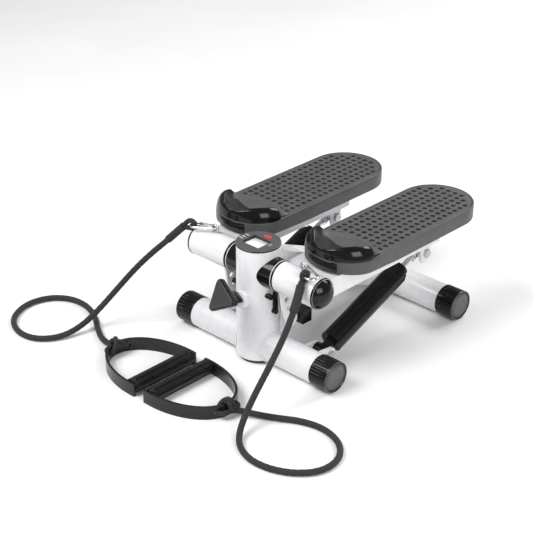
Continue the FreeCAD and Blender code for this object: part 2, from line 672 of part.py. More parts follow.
def half_ellipse_slab(reach, half, bar_x, way):
    """Half of an elliptic slab on the apex side of the grip bar."""
    centre = Vector(0, 0, 0)
    face = Part.Face(Part.Wire(Part.Ellipse(centre, reach, half).toShape()))
    slab = face.extrude(Vector(0, 0, HANDLE_HEIGHT))
    x0, x1 = sorted((-way * HANDLE_TAIL, way * FAR))
    slab = slab.common(block(x0, x1, -FAR, FAR, -1, FAR))
    slab.translate(Vector(bar_x, HANDLE_Y, 0))
    return slab


def handle_band(side):
    """D-shaped band that stands on its edge, with the bar that carries the grip."""
    way, bar_x = handle_direction(side), HANDLE_BAR_X[side]
    outer = half_ellipse_slab(HANDLE_REACH, HANDLE_HALF, bar_x, way)
    inner = half_ellipse_slab(HANDLE_REACH - HANDLE_BAND, HANDLE_HALF - HANDLE_BAND, bar_x, way)
    bar_half = HANDLE_HALF - 2
    bar = rod(6, Vector(bar_x, HANDLE_Y - bar_half, GRIP_R), Vector(bar_x, HANDLE_Y + bar_half, GRIP_R))
    shape = outer.cut(inner).fuse(bar)
    for s in (-1, 1):
        start = Vector(bar_x + way * (HANDLE_REACH - 20), HANDLE_Y + s * HANDLE_HOLE_Y, HANDLE_HEIGHT / 2)
        shape = shape.cut(rod(4, start, start + Vector(way * 30, 0, 0)))
    return shape.removeSplitter()


def handle_grip(side):
    bar_x, half = HANDLE_BAR_X[side], GRIP_LENGTH / 2
    start, end = Vector(bar_x, HANDLE_Y - half, GRIP_R), Vector(bar_x, HANDLE_Y + half, GRIP_R)
    return pipe(GRIP_R, 6, start, end)


# --- all nodes ----------------------------------------------------------------------------------
def frame_nodes():
    nodes = {
        "column": column(),
        "column_foot": column_foot(),
        "front_cross_tube": front_cross_tube(),
        "rear_cross_tube": cross_tube(REAR_Y),
        "frame_beam": frame_beam(),
        "cylinder_brackets": cylinder_brackets(),
        "rocker_bracket": rocker_bracket(),
        "knob_boss": knob_boss(),
        "pivot_axle": pivot_axle(),
        "pivot_collars": pivot_collars(),
        "stop_bolts": stop_bolts(),
        "frame_fasteners": frame_fasteners(),
        "display_housing": display_housing(),
        "display_module": display_module(),
        "reset_button": reset_button(),
        "rocker_beam": rocker_beam(),
        "adjust_screw": adjust_screw(),
        "adjust_knob": adjust_knob(),
    }
    for place, y in (("front", 0.0), ("rear", REAR_Y)):
        nodes["right_" + place + "_cap"] = base_cap(y)
        nodes["left_" + place + "_cap"] = mirrored(base_cap(y))
    return nodes


def paired_nodes():
    return {
        "pivot_tube": pivot_tube(),
        "pivot_bushings": pivot_bushings(),
        "end_cap": end_cap(),
        "pedal_arm": pedal_arm(),
        "lever_plate": lever_plate(),
        "rod_bracket": rod_bracket(),
        "pedal_base": pedal_base(),
        "pedal_grip": pedal_grip(),
        "toe_cup": toe_cup(),
        "pedal_fasteners": pedal_fasteners(),
        "rope_eye": rope_eye(),
        "cylinder_barrel": cylinder_barrel(),
        "cylinder_gland": cylinder_gland(),
        "piston_rod": piston_rod(),
    }


def all_nodes():
    nodes = frame_nodes()
    for name, shape in paired_nodes().items():
        nodes["right_" + name] = shape
        nodes["left_" + name] = mirrored(shape)
    for side in ("left", "right"):
        for name, shape in (("carabiner", carabiner_loop()), ("carabiner_gate", carabiner_gate())):
            placed = place_carabiner(shape, side)
            nodes[side + "_" + name] = mirrored(placed) if side == "left" else placed
        nodes[side + "_rope"] = rope(side)
        nodes[side + "_handle_band"] = handle_band(side)
        nodes[side + "_handle_grip"] = handle_grip(side)
    return nodes


def main():
    os.makedirs("parts", exist_ok=True)
    for name, shape in all_nodes().items():
        if not shape.isValid():
            print("not valid:", name)
        shape.exportStep("parts/" + name + ".step")


main()
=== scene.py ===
"""Looks of the mini stair stepper with pull ropes. Metres, in the frame's own axes."""

import json
import math

import bmesh
import bpy
import numpy as np
from mathutils import Matrix, Vector


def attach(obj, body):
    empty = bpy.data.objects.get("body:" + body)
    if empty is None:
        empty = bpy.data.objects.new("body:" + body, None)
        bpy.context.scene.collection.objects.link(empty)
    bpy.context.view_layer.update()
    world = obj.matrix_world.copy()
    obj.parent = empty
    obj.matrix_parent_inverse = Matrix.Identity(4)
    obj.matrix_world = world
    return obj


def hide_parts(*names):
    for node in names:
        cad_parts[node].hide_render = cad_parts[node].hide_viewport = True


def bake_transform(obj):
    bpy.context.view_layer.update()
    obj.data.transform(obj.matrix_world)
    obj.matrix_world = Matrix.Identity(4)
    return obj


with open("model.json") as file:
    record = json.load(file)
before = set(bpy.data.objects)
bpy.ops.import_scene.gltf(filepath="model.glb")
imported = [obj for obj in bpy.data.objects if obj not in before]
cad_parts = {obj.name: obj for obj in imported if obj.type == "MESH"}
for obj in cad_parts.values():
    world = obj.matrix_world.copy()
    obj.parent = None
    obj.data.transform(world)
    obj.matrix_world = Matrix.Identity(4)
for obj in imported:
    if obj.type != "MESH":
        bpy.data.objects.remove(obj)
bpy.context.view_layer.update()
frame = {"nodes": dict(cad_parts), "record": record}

MM = 0.001
SIDES = (("left", -1), ("right", 1))   # each side's name and the way it lies along X

AZIMUTH, ELEVATION, DISTANCE = 44, 29, 2.3   # of the camera, in degrees and metres
LOOK_AT = Vector((0, 0, 0.1))
FOCAL_PIXELS, FRAME_PIXELS, SENSOR_MM = 1455, 545, 36


# --- camera, floor and light --------------------------------------------------------------------
def make_camera():
    data = bpy.data.cameras.new("camera")
    data.sensor_width = SENSOR_MM
    data.lens = SENSOR_MM * FOCAL_PIXELS / FRAME_PIXELS
    data.shift_x = 0.0149
    data.shift_y = 0.0492
    data.clip_end = 20
    camera = bpy.data.objects.new("camera", data)
    bpy.context.collection.objects.link(camera)
    azimuth, elevation = math.radians(AZIMUTH), math.radians(ELEVATION)
    back = Vector((
        math.sin(azimuth) * math.cos(elevation),
        -math.cos(azimuth) * math.cos(elevation),
        math.sin(elevation),
    ))
    camera.location = LOOK_AT + back * DISTANCE
    camera.rotation_mode = "QUATERNION"
    camera.rotation_quaternion = (-back).to_track_quat("-Z", "Y")
    bpy.context.scene.camera = camera


def make_light(name, location, target, size, power):
    data = bpy.data.lights.new(name, "AREA")
    data.shape = "RECTANGLE"
    data.size, data.size_y = size
    data.energy = power
    light = bpy.data.objects.new(name, data)
    bpy.context.collection.objects.link(light)
    light.location = location
    aim = Vector(target) - Vector(location)
    light.rotation_mode = "QUATERNION"
    light.rotation_quaternion = aim.to_track_quat("-Z", "Y")


def make_world():
    world = bpy.data.worlds.new("studio")
    bpy.context.scene.world = world
    world.use_nodes = True
    background = world.node_tree.nodes["Background"]
    background.inputs["Color"].default_value = (1, 1, 1, 1)
    background.inputs["Strength"].default_value = 0.35
    bpy.context.scene.view_settings.view_transform = "Standard"


# --- node helpers -------------------------------------------------------------------------------
def new_material(name):
    material = bpy.data.materials.new(name)
    material.use_nodes = True
    return material, material.node_tree, material.node_tree.nodes["Principled BSDF"]


def node(tree, kind, **inputs):
    made = tree.nodes.new(kind)
    for key, value in inputs.items():
        made.inputs[key.replace("_", " ")].default_value = value
    return made


def object_coordinates(tree):
    return tree.nodes.new("ShaderNodeTexCoord").outputs["Object"]


def noise(tree, scale, detail=3.0, roughness=0.5, vector=None):
    made = node(tree, "ShaderNodeTexNoise", Scale=scale, Detail=detail, Roughness=roughness)
    tree.links.new(vector or object_coordinates(tree), made.inputs["Vector"])
    return made.outputs["Fac"]


def ramp(tree, value, stops):
    """Colour ramp over (position, grey or rgb) stops."""
    made = tree.nodes.new("ShaderNodeValToRGB")
    elements = made.color_ramp.elements
    while len(elements) < len(stops):
        elements.new(0.5)
    for element, (position, colour) in zip(elements, stops):
        element.position = position
        rgb = (colour,) * 3 if isinstance(colour, (int, float)) else colour
        element.color = (*rgb, 1)
    tree.links.new(value, made.inputs["Fac"])
    return made.outputs["Color"]


def bump(tree, shader, height, strength, distance):
    made = node(tree, "ShaderNodeBump", Strength=strength, Distance=distance)
    tree.links.new(height, made.inputs["Height"])
    tree.links.new(made.outputs["Normal"], shader.inputs["Normal"])
    return made


# --- ropes --------------------------------------------------------------------------------------
ROPE_DIAMETER = 0.010
ROPE_STEP = 1.2 * MM           # between rings of the rope's mesh
STRANDS = 8                    # plait strands that run each way round

# Control points of the two ropes' centre lines, from the carabiner to the handle.
# They are the points of the CAD model's rope routes, in metres.
ROPE_ROUTES = {
    "left": [
        (-0.150, -0.0175, 0.184), (-0.162, -0.022, 0.171), (-0.180, -0.031, 0.150),
        (-0.200, -0.045, 0.127), (-0.222, -0.063, 0.097), (-0.243, -0.088, 0.059),
        (-0.254, -0.121, 0.028), (-0.257, -0.158, 0.011), (-0.263, -0.195, 0.0052),
        (-0.288, -0.227, 0.005), (-0.328, -0.233, 0.005), (-0.369, -0.212, 0.005),
        (-0.392, -0.168, 0.005), (-0.385, -0.124, 0.005), (-0.353, -0.097, 0.005),
        (-0.311, -0.095, 0.005), (-0.270, -0.113, 0.005), (-0.240, -0.134, 0.005),
        (-0.212, -0.150, 0.0055), (-0.190, -0.156, 0.008), (-0.172, -0.159, 0.011),
    ],
    "right": [
        (0.1135, -0.024, 0.1835), (0.116, -0.031, 0.173), (0.120, -0.042, 0.158),
        (0.124, -0.060, 0.134), (0.127, -0.082, 0.108), (0.128, -0.109, 0.078),
        (0.130, -0.139, 0.049), (0.135, -0.167, 0.025), (0.146, -0.192, 0.009),
        (0.167, -0.213, 0.005), (0.199, -0.226, 0.005), (0.236, -0.223, 0.005),
        (0.270, -0.206, 0.005), (0.294, -0.176, 0.005), (0.294, -0.137, 0.005),
        (0.268, -0.105, 0.005), (0.226, -0.092, 0.005), (0.187, -0.101, 0.005),
        (0.157, -0.120, 0.005), (0.130, -0.136, 0.0065), (0.110, -0.148, 0.0095),
        (0.096, -0.157, 0.011),
    ],
}


def spline_points(points):
    """The smooth line of a NURBS spline with these control points, as its own evaluated points."""
    curve = bpy.data.curves.new("route", "CURVE")
    curve.dimensions = "3D"
    curve.resolution_u = 32
    spline = curve.splines.new("NURBS")
    spline.points.add(len(points) - 1)
    for point, place in zip(spline.points, points):
        point.co = (*place, 1)
    spline.order_u = 3
    spline.use_endpoint_u = True
    holder = bpy.data.objects.new("route", curve)
    mesh = bpy.data.meshes.new_from_object(holder)
    line = np.array([vertex.co[:] for vertex in mesh.vertices])
    bpy.data.objects.remove(holder)
    bpy.data.meshes.remove(mesh)
    bpy.data.curves.remove(curve)
    return line


def resampled(line, step):
    """The same line with its points evenly spaced, about step apart."""
    gaps = np.linalg.norm(np.diff(line, axis=0), axis=1)
    along = np.concatenate([[0], np.cumsum(gaps)])
    count = max(2, int(round(along[-1] / step)) + 1)
    wanted = np.linspace(0, along[-1], count)
    return np.stack([np.interp(wanted, along, line[:, i]) for i in range(3)], axis=1)


def frames_along(line):
    """Unit tangents and two unit cross directions that turn as little as they can along the line."""
    tangents = np.gradient(line, axis=0)
    tangents /= np.linalg.norm(tangents, axis=1, keepdims=True)
    side = np.cross(tangents[0], (0, 0, 1) if abs(tangents[0][2]) < 0.9 else (1, 0, 0))
    sides = []
    for tangent in tangents:
        side = side - tangent * np.dot(side, tangent)
        side = side / np.linalg.norm(side)
        sides.append(side)
    sides = np.array(sides)
    return tangents, sides, np.cross(tangents, sides)


def mesh_object(name, vertices, faces, material, smooth=True):
    mesh = bpy.data.meshes.new(name)
    mesh.from_pydata([tuple(v) for v in vertices], [], faces)
    mesh.validate()
    mesh.polygons.foreach_set("use_smooth", [smooth] * len(mesh.polygons))
    mesh.materials.append(material)
    made = bpy.data.objects.new(name, mesh)
    bpy.context.collection.objects.link(made)
    return made


def grid_faces(rows, columns, closed=True, offset=0):
    """Quads over a grid of vertices, row by row. closed joins the last column to the first."""
    faces = []
    last = columns if closed else columns - 1
    for i in range(rows - 1):
        for j in range(last):
            a, b = i * columns + j, i * columns + (j + 1) % columns
            faces.append((offset + a, offset + b, offset + b + columns, offset + a + columns))
    return faces


def tube_along(name, line, radius, around, material, relief=None):
    """Closed tube along a line. radius is a number or one per point; relief(s, angle) scales it."""
    _, sides, ups = frames_along(line)
    gaps = np.linalg.norm(np.diff(line, axis=0), axis=1)
    along = np.concatenate([[0], np.cumsum(gaps)])
    angles = np.linspace(0, 2 * math.pi, around, endpoint=False)
    radii = np.broadcast_to(radius, (len(line),))
    swell = relief(along[:, None], angles[None, :]) if relief else np.ones((len(line), around))
    reach = radii[:, None] * swell
    ring = np.cos(angles)[None, :, None] * sides[:, None, :] + np.sin(angles)[None, :, None] * ups[:, None, :]
    vertices = (line[:, None, :] + reach[:, :, None] * ring).reshape(-1, 3)
    faces = grid_faces(len(line), around)
    faces.append(tuple(range(around))[::-1])
    start = (len(line) - 1) * around
    faces.append(tuple(range(start, start + around)))
    return mesh_object(name, vertices, faces, material)


def plait(along, angles):
    """Relief of a round plait: two families of strands that cross and pass under each other."""
    turn = 2 * math.pi * along / (4.2 * ROPE_DIAMETER)
    one = np.cos(STRANDS / 4 * (angles + turn))
    other = np.cos(STRANDS / 4 * (angles - turn))
    crest = np.where(one * other > 0, np.abs(one), np.abs(other))
    return 0.9 + 0.1 * crest ** 0.6


def rope_material():
    material, tree, shader = new_material("rope_braid")
    coarse = noise(tree, 900, 2)
    fibres = noise(tree, 4200, 3, 0.7)
    colour = ramp(tree, coarse, [(0.3, (0.005, 0.005, 0.006)), (0.75, (0.022, 0.020, 0.023))])
    tree.links.new(colour, shader.inputs["Base Color"])
    shader.inputs["Roughness"].default_value = 0.72
    shader.inputs["Sheen Weight"].default_value = 0.1
    shader.inputs["Sheen Roughness"].default_value = 0.4
    bump(tree, shader, fibres, 0.5, 0.0003)
    return material


# --- materials ----------------------------------------------------------------------------------
def paint_material():
    """Off-white powder coat: faint orange peel and a slight change of tone over each tube."""
    material, tree, shader = new_material("white_paint")
    tone = noise(tree, 14, 3)
    colour = ramp(tree, tone, [(0.3, (0.71, 0.71, 0.73)), (0.7, (0.75, 0.75, 0.77))])
    tree.links.new(colour, shader.inputs["Base Color"])
    rough = ramp(tree, noise(tree, 60, 4), [(0.3, 0.24), (0.8, 0.36)])
    tree.links.new(rough, shader.inputs["Roughness"])
    shader.inputs["Coat Weight"].default_value = 0.35
    shader.inputs["Coat Roughness"].default_value = 0.12
    bump(tree, shader, noise(tree, 650, 2), 0.12, 0.0004)
    return material


def moulded_material(name, low, high, roughness, grain, depth=0.0002, shine=0.5):
    """Injection-moulded plastic or enamel: two tones, a roughness that wanders and a fine surface grain."""
    material, tree, shader = new_material(name)
    tree.links.new(ramp(tree, noise(tree, 40, 4), [(0.3, low), (0.75, high)]), shader.inputs["Base Color"])
    rough = ramp(tree, noise(tree, 90, 5), [(0.25, roughness[0]), (0.8, roughness[1])])
    tree.links.new(rough, shader.inputs["Roughness"])
    shader.inputs["Specular IOR Level"].default_value = shine
    bump(tree, shader, noise(tree, grain, 3), 0.25, depth)
    return material


def metal_material(name, low, high, roughness, scratch):
    material, tree, shader = new_material(name)
    shader.inputs["Metallic"].default_value = 1
    tree.links.new(ramp(tree, noise(tree, 120, 4), [(0.3, low), (0.75, high)]), shader.inputs["Base Color"])
    rough = ramp(tree, noise(tree, 260, 5), [(0.25, roughness[0]), (0.8, roughness[1])])
    tree.links.new(rough, shader.inputs["Roughness"])
    bump(tree, shader, noise(tree, scratch, 2), 0.1, 0.0001)
    return material


BLACK = ((0.003,) * 3, (0.006, 0.006, 0.006))   # the two tones of the black enamel and plastic
HANDLE_TONES = ((0.008, 0.008, 0.008), (0.015, 0.014, 0.014))
MATERIALS = {
    "white_paint": paint_material(),
    "black_gloss": moulded_material("black_gloss", *BLACK, (0.10, 0.2), 900, 0.0001, 0.3),
    "black_paint": moulded_material("black_paint", *BLACK, (0.14, 0.26), 700, 0.0001, 0.3),
    "pedal_plastic": moulded_material("pedal_plastic", (0.055,) * 3, (0.072, 0.072, 0.074),
                                      (0.38, 0.5), 2400),
    "grip_rubber": moulded_material("grip_rubber", (0.06,) * 3, (0.082, 0.082, 0.084), (0.45, 0.6), 3000),
    # Near-black for the deep walls and floors of recesses: painted shade in the tread's dots and the button
    # seat, and the display window's black walls with painted shade on them.
    "recess_black_and_shade": moulded_material("recess_black_and_shade", (0.006,) * 3, (0.02, 0.02, 0.021), (0.5, 0.7), 3000),
    "black_rubber": moulded_material("black_rubber", (0.010,) * 3, (0.022, 0.022, 0.023), (0.4, 0.55), 2600),
    "display_grey": moulded_material("display_grey", (0.07,) * 3, (0.085, 0.085, 0.087), (0.3, 0.4), 2800),
    "disc_grey": moulded_material("disc_grey", (0.075,) * 3, (0.1, 0.1, 0.1), (0.32, 0.45), 1500),
    "hood_inside": moulded_material("hood_inside", (0.004,) * 3, (0.007,) * 3,
                                    (0.3, 0.45), 2600, 0.0002, 0.25),
    "knob_face": moulded_material("knob_face", (0.022,) * 3, (0.032,) * 3, (0.42, 0.55), 2600),
    # Light grey: the display's printed bars, and a painted highlight on the thin ring at the foot of each
    # domed cap.
    "print_and_highlight_grey": moulded_material("print_and_highlight_grey", (0.55,) * 3, (0.65, 0.65, 0.66), (0.4, 0.5), 2000),
    "lcd": moulded_material("lcd", (0.76, 0.78, 0.78), (0.84, 0.85, 0.85), (0.18, 0.25), 1200, 0.00005),
    "red_plastic": moulded_material("red_plastic", (0.42, 0.035, 0.03), (0.55, 0.07, 0.06),
                                    (0.25, 0.35), 1800),
    "handle_black": moulded_material("handle_black", *HANDLE_TONES, (0.14, 0.24), 800, 0.0002, 0.35),
    "chrome": metal_material("chrome", (0.62, 0.62, 0.64), (0.78, 0.78, 0.8), (0.06, 0.14), 1500),
    "zinc": metal_material("zinc", (0.42, 0.42, 0.43), (0.6, 0.6, 0.61), (0.25, 0.4), 1100),
    "rope_black": rope_material(),
}
SLOT_OF = {entry["node"]: entry["material_slot"] for entry in frame["record"]["subparts"]}


def paint_cad_nodes():
    """Every CAD node that shows takes the material of its slot."""
    for name, thing in frame["nodes"].items():
        thing.data.materials.clear()
        thing.data.materials.append(MATERIALS[SLOT_OF[name]])


# --- shapes -------------------------------------------------------------------------------------
def softened(profile, size):
    """The profile with each inner corner rounded, no further than size from the corner."""
    points = [np.array(p, float) for p in profile]
    made = [points[0]]
    for before, corner, after in zip(points, points[1:], points[2:]):
        back, on = before - corner, after - corner
        reach = min(size, 0.45 * np.linalg.norm(back), 0.45 * np.linalg.norm(on))
        start = corner + back / np.linalg.norm(back) * reach
        end = corner + on / np.linalg.norm(on) * reach
        for share in (0.0, 0.33, 0.67, 1.0):
            made.append((1 - share) ** 2 * start + 2 * share * (1 - share) * corner + share ** 2 * end)
    made.append(points[-1])
    return np.array(made)


def mm_object(name, vertices, faces, materials, shades=None):
    """Mesh from vertices in millimetres. shades gives each face its place in materials."""
    scaled = np.array([tuple(v) for v in vertices], float) * MM
    made = mesh_object(name, scaled, faces, materials[0])
    for material in materials[1:]:
        made.data.materials.append(material)
    if shades is not None:
        made.data.polygons.foreach_set("material_index", shades)
    return made


def turned(name, profile, origin, axis, material, around=96, swell=None, accent=None, rows=()):
    """Solid of revolution. profile lists (distance along the axis, radius); swell(angle, distance) scales it.
    The bands of the profile listed in rows take the accent material."""
    axis = Vector(axis).normalized()
    side = axis.orthogonal().normalized()
    up = axis.cross(side)
    angles = np.linspace(0, 2 * math.pi, around, endpoint=False)
    vertices = []
    for distance, radius in profile:
        for angle in angles:
            reach = max(radius, 0.01) * (swell(angle, distance) if swell else 1)
            out = side * math.cos(angle) + up * math.sin(angle)
            vertices.append(Vector(origin) + axis * distance + out * reach)
    faces = grid_faces(len(profile), around)
    shades = [int(i // around in rows) for i in range(len(faces))] + [0, int(len(profile) - 2 in rows)]
    faces.append(tuple(range(around))[::-1])
    start = (len(profile) - 1) * around
    faces.append(tuple(range(start, start + around)))
    return mm_object(name, vertices, faces, [material] + ([accent] if accent else []),
                     shades if accent else None)


def patch(name, rows, material, closed=False):
    """Surface through rows of points, in millimetres."""
    rows = np.array(rows, float)
    return mm_object(name, rows.reshape(-1, 3), grid_faces(rows.shape[0], rows.shape[1], closed), [material])


def mirror_mesh(piece, way):
    """Turns a right-hand piece into a left-hand one when way is -1."""
    if way < 0:
        piece.data.transform(Matrix.Scale(-1, 4, (1, 0, 0)))
        piece.data.flip_normals()
    return piece


def finish_piece(piece, body, stands_for=()):
    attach(piece, body)
    if stands_for:
        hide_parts(*stands_for)
    return piece


# --- base caps, end caps and collars --------------------------------------------------------------
BASE_Z, PIVOT_Z, REAR_Y = 26, 160, 315
CAP_X = 131                    # where the caps of the base and of the pivot tubes start
WHITE_RING_X, BLACK_RING_X = 47.2, 49.4
FLUTES = 28


def flute(angle, distance):
    """Shallow lengthwise grooves round a base cap, between its two plain ends."""
    if not 2 < distance < 31:
        return 1
    groove = max(0.0, math.cos(FLUTES * angle)) ** 4
    return 1 - 0.028 * groove


def make_base_caps():
    outer = [(0, 25.1), (0.4, 25.7), (1.5, 26), (2.1, 26), (3, 26), (16, 26), (30, 26), (31.1, 26),
             (32.5, 26)]
    face = [(34, 25.8), (34.7, 25.4), (34.9, 24.6), (34.9, 24.5), (33.8, 24.3), (33.8, 23.1), (34.7, 22.9)]
    inner = [(34.7, 22.3), (33.6, 22.1), (33.6, 21.2), (34.4, 21), (34.4, 12), (34.4, 0)]
    profile = outer + face + inner
    # Bands in the grey: the end disc in its own grey, and the narrow rims of the rings round it as painted
    # highlight.
    disc_and_highlight_rows = (9, 10, 11, 15, 18, 19, 20)
    for side, way in SIDES:
        for place, y in (("front", 0), ("rear", REAR_Y)):
            cap = turned(f"{side}_{place}_fluted_cap", profile, (CAP_X * way, y, BASE_Z), (way, 0, 0),
                         MATERIALS["black_gloss"], 12 * FLUTES, flute, MATERIALS["disc_grey"], disc_and_highlight_rows)
            finish_piece(cap, "root", [f"{side}_{place}_cap"])


def make_pivot_trim():
    """Domed end caps, and the two thin rings where each pivot tube meets its collar."""
    dome = [(0, 22.8), (0, 24.9), (0.5, 25.5), (2.2, 25.5), (2.9, 25.1), (3.3, 24.4), (3.3, 23.9),
            (3.9, 23.5)]
    ball = (23.5 ** 2 + 12.6 ** 2) / (2 * 12.6)
    for share in np.linspace(0.06, 1, 16):
        radius = 23.5 * (1 - share)
        dome.append((3.9 + math.sqrt(ball ** 2 - radius ** 2) - (ball - 12.6), radius))
    white = softened([(0, 21), (0, 25.3), (1.3, 25.3), (1.3, 21)], 0.5)
    black = softened([(0, 21), (0, 25.8), (3.4, 25.8), (3.4, 21)], 1.2)
    for side, way in SIDES:
        # Row 5, the thin ring at the foot of the dome, takes the light grey as a painted highlight.
        cap = turned(side + "_domed_cap", dome, (CAP_X * way, 0, PIVOT_Z), (way, 0, 0),
                     MATERIALS["black_gloss"], accent=MATERIALS["print_and_highlight_grey"], rows=(5,))
        finish_piece(cap, side + "_pedal", [side + "_end_cap"])
        origin = (WHITE_RING_X * way, 0, PIVOT_Z)
        ring = turned(side + "_pivot_white_ring", white, origin, (way, 0, 0), MATERIALS["white_paint"])
        finish_piece(ring, "root")
        origin = (BLACK_RING_X * way, 0, PIVOT_Z)
        ring = turned(side + "_pivot_black_ring", black, origin, (way, 0, 0), MATERIALS["black_gloss"])
        finish_piece(ring, side + "_pedal")


def make_column_weld():
    """Weld beads where the front cross tube runs into the column."""
    for side, way in SIDES:
        line = []
        for angle in np.linspace(0, 2 * math.pi, 181):
            y, z = 25.3 * math.cos(angle), BASE_Z + 25.3 * math.sin(angle)
            line.append((way * (math.sqrt(35.4 ** 2 - y ** 2) + 0.4), y, max(z, 2.6)))
        bead = tube_along(side + "_column_weld", np.array(line) * MM, 1.9 * MM, 12, MATERIALS["white_paint"],
                          ripple)
        finish_piece(bead, "root")


def ripple(along, angles):
    return 1 + 0.12 * np.cos(along / (1.6 * MM)) + 0 * angles


# --- display --------------------------------------------------------------------------------------
DISPLAY_Z = 203
WINDOW = (-19.5, 16.5, -17.5, 12.5)   # x0, x1, y0, y1
BUTTON_Y = 20.5
# Plain bars on the disc: X, Y, length and width.
DISPLAY_MARKS = ((-28, -9, 8, 2), (-28.4, -2.6, 8, 2), (-28, 4.4, 8, 2), (22.5, 0.5, 5, 1.8), (22, 5, 5, 1.8))


def rounded_box(x0, x1, y0, y1, radius, z, steps=6):
    """Closed loop of points round a rectangle with rounded corners."""
    loop = []
    corners = ((x1, y1, 0), (x0, y1, 90), (x0, y0, 180), (x1, y0, 270))
    for x, y, start in corners:
        cx = x - radius if x == x1 else x + radius
        cy = y - radius if y == y1 else y + radius
        for angle in np.radians(np.linspace(start, start + 90, steps)):
            loop.append((cx + radius * math.cos(angle), cy + radius * math.sin(angle), z))
    return loop


def circle(radius, z, count=120):
    return [(radius * math.cos(a), radius * math.sin(a), z)
            for a in np.linspace(0, 2 * math.pi, count, endpoint=False)]


def plate_with_holes(name, outer_loops, holes, materials):
    """Flat plate. outer_loops run from its bottom edge to its top one; each hole is a list of loops from
    the top down, closed by a floor. Floors and the walls under a hole's first step take the second
    material."""
    mesh = bmesh.new()

    def add(loop):
        return [mesh.verts.new([c * MM for c in point]) for point in loop]

    def skin(upper, lower, shade):
        count = len(upper)
        for i in range(count):
            j = (i + 1) % count
            mesh.faces.new((upper[i], lower[i], lower[j], upper[j])).material_index = shade

    rings = [add(loop) for loop in outer_loops]
    for lower, upper in zip(rings, rings[1:]):
        skin(upper, lower, 0)
    tops = [rings[-1]]
    for loops in holes:
        levels = [add(loop) for loop in loops]
        for step, (upper, lower) in enumerate(zip(levels, levels[1:])):
            skin(lower, upper, 0 if step == 0 else 1)
        mesh.faces.new(levels[-1]).material_index = 1
        tops.append(levels[0])
    edges = []
    for ring in tops:
        for i in range(len(ring)):
            pair = (ring[i], ring[(i + 1) % len(ring)])
            edges.append(mesh.edges.get(pair) or mesh.edges.new(pair))
    bmesh.ops.triangle_fill(mesh, use_beauty=True, use_dissolve=False, edges=edges, normal=(0, 0, 1))
    bmesh.ops.recalc_face_normals(mesh, faces=mesh.faces)
    data = bpy.data.meshes.new(name)
    mesh.to_mesh(data)
    mesh.free()
    data.polygons.foreach_set("use_smooth", [True] * len(data.polygons))
    for material in materials:
        data.materials.append(material)
    made = bpy.data.objects.new(name, data)
    bpy.context.collection.objects.link(made)
    keep_flats(made)
    return made


def keep_flats(piece):
    modifier = piece.modifiers.new("flats", "WEIGHTED_NORMAL")
    modifier.keep_sharp = True
    modifier.weight = 100


def make_display():
    x0, x1, y0, y1 = WINDOW
    rim = [circle(32.5, 201.2), circle(35.2, 201.2), circle(35.6, 201.5), circle(35.6, 202.3),
           circle(35.3, 202.8), circle(34.4, DISPLAY_Z)]
    window = [rounded_box(x0 - s, x1 + s, y0 - s, y1 + s, 1.2, z)
              for s, z in ((0.5, DISPLAY_Z), (0, DISPLAY_Z - 0.5), (0, 197.4))]
    seat = [rounded_box(-7.8 - s, 7.8 + s, BUTTON_Y - 4.6 - s, BUTTON_Y + 4.6 + s, 4.5, z)
            for s, z in ((0.3, DISPLAY_Z), (0, DISPLAY_Z - 0.3), (0, 198.5))]
    # The deep walls of the window and the button seat take the near-black: painted shade in the recesses, and
    # the black of the window's walls.
    greys = [MATERIALS["display_grey"], MATERIALS["recess_black_and_shade"]]
    disc = plate_with_holes("display_disc", rim, [window, seat], greys)
    finish_piece(disc, "root", ["display_housing"])
    ring = softened([(34.6, 199.5), (35.9, 199.5), (35.9, 201.4), (35.0, 201.4)], 0.5)
    band = patch("display_rim", [circle(radius, z) for radius, z in ring], MATERIALS["black_gloss"],
                 closed=True)
    finish_piece(band, "root")
    panel = [rounded_box(x0 + s, x1 - s, y0 + s, y1 - s, 0.8, z, 4)
             for s, z in ((0.3, 196), (0.3, 197.9), (0.5, 198.1))]
    faces = grid_faces(3, len(panel[0])) + [tuple(range(2 * len(panel[0]), 3 * len(panel[0])))]
    glass = mm_object("display_lcd", [point for loop in panel for point in loop], faces, [MATERIALS["lcd"]])
    finish_piece(glass, "root", ["display_module"])
    for i, (x, y, length, width) in enumerate(DISPLAY_MARKS):
        box = [rounded_box(x - length / 2 + s, x + length / 2 - s,
                           y - width / 2 + s, y + width / 2 - s, 0.7, z, 4)
               for s, z in ((0, DISPLAY_Z - 0.3), (0, DISPLAY_Z + 0.05), (0.2, DISPLAY_Z + 0.2))]
        mark = plate_with_holes(f"display_mark_{i}", box, [], [MATERIALS["print_and_highlight_grey"]])
        finish_piece(mark, "root")
    button = [rounded_box(-7.8 + s, 7.8 - s, BUTTON_Y - 4.3 + s, BUTTON_Y + 4.3 - s, 4.25 - s, z, 10)
              for s, z in ((0, 198), (0, 203.2), (0.35, 203.9), (1.1, 204.35), (2.2, 204.6))]
    pill = plate_with_holes("reset_pill", button, [], [MATERIALS["red_plastic"]])
    finish_piece(pill, "reset_button", ["reset_button"])


# --- adjusting knob -------------------------------------------------------------------------------
KNOB_START = Vector((0, -35, 114))
KNOB_AXIS = Vector((0, -math.cos(math.radians(25)), math.sin(math.radians(25))))


def triangle_loop(scale, count=96):
    """Radius of a rounded triangle in each direction, as points in its plane."""
    points = []
    for i in range(3):
        middle = math.radians(120 * i)
        corner = np.array([23.5 * math.cos(middle), 23.5 * math.sin(middle)])
        for angle in np.linspace(middle - math.radians(59), middle + math.radians(59), count // 3):
            points.append((corner + 6 * np.array([math.cos(angle), math.sin(angle)])) * scale)
    return np.array(points)


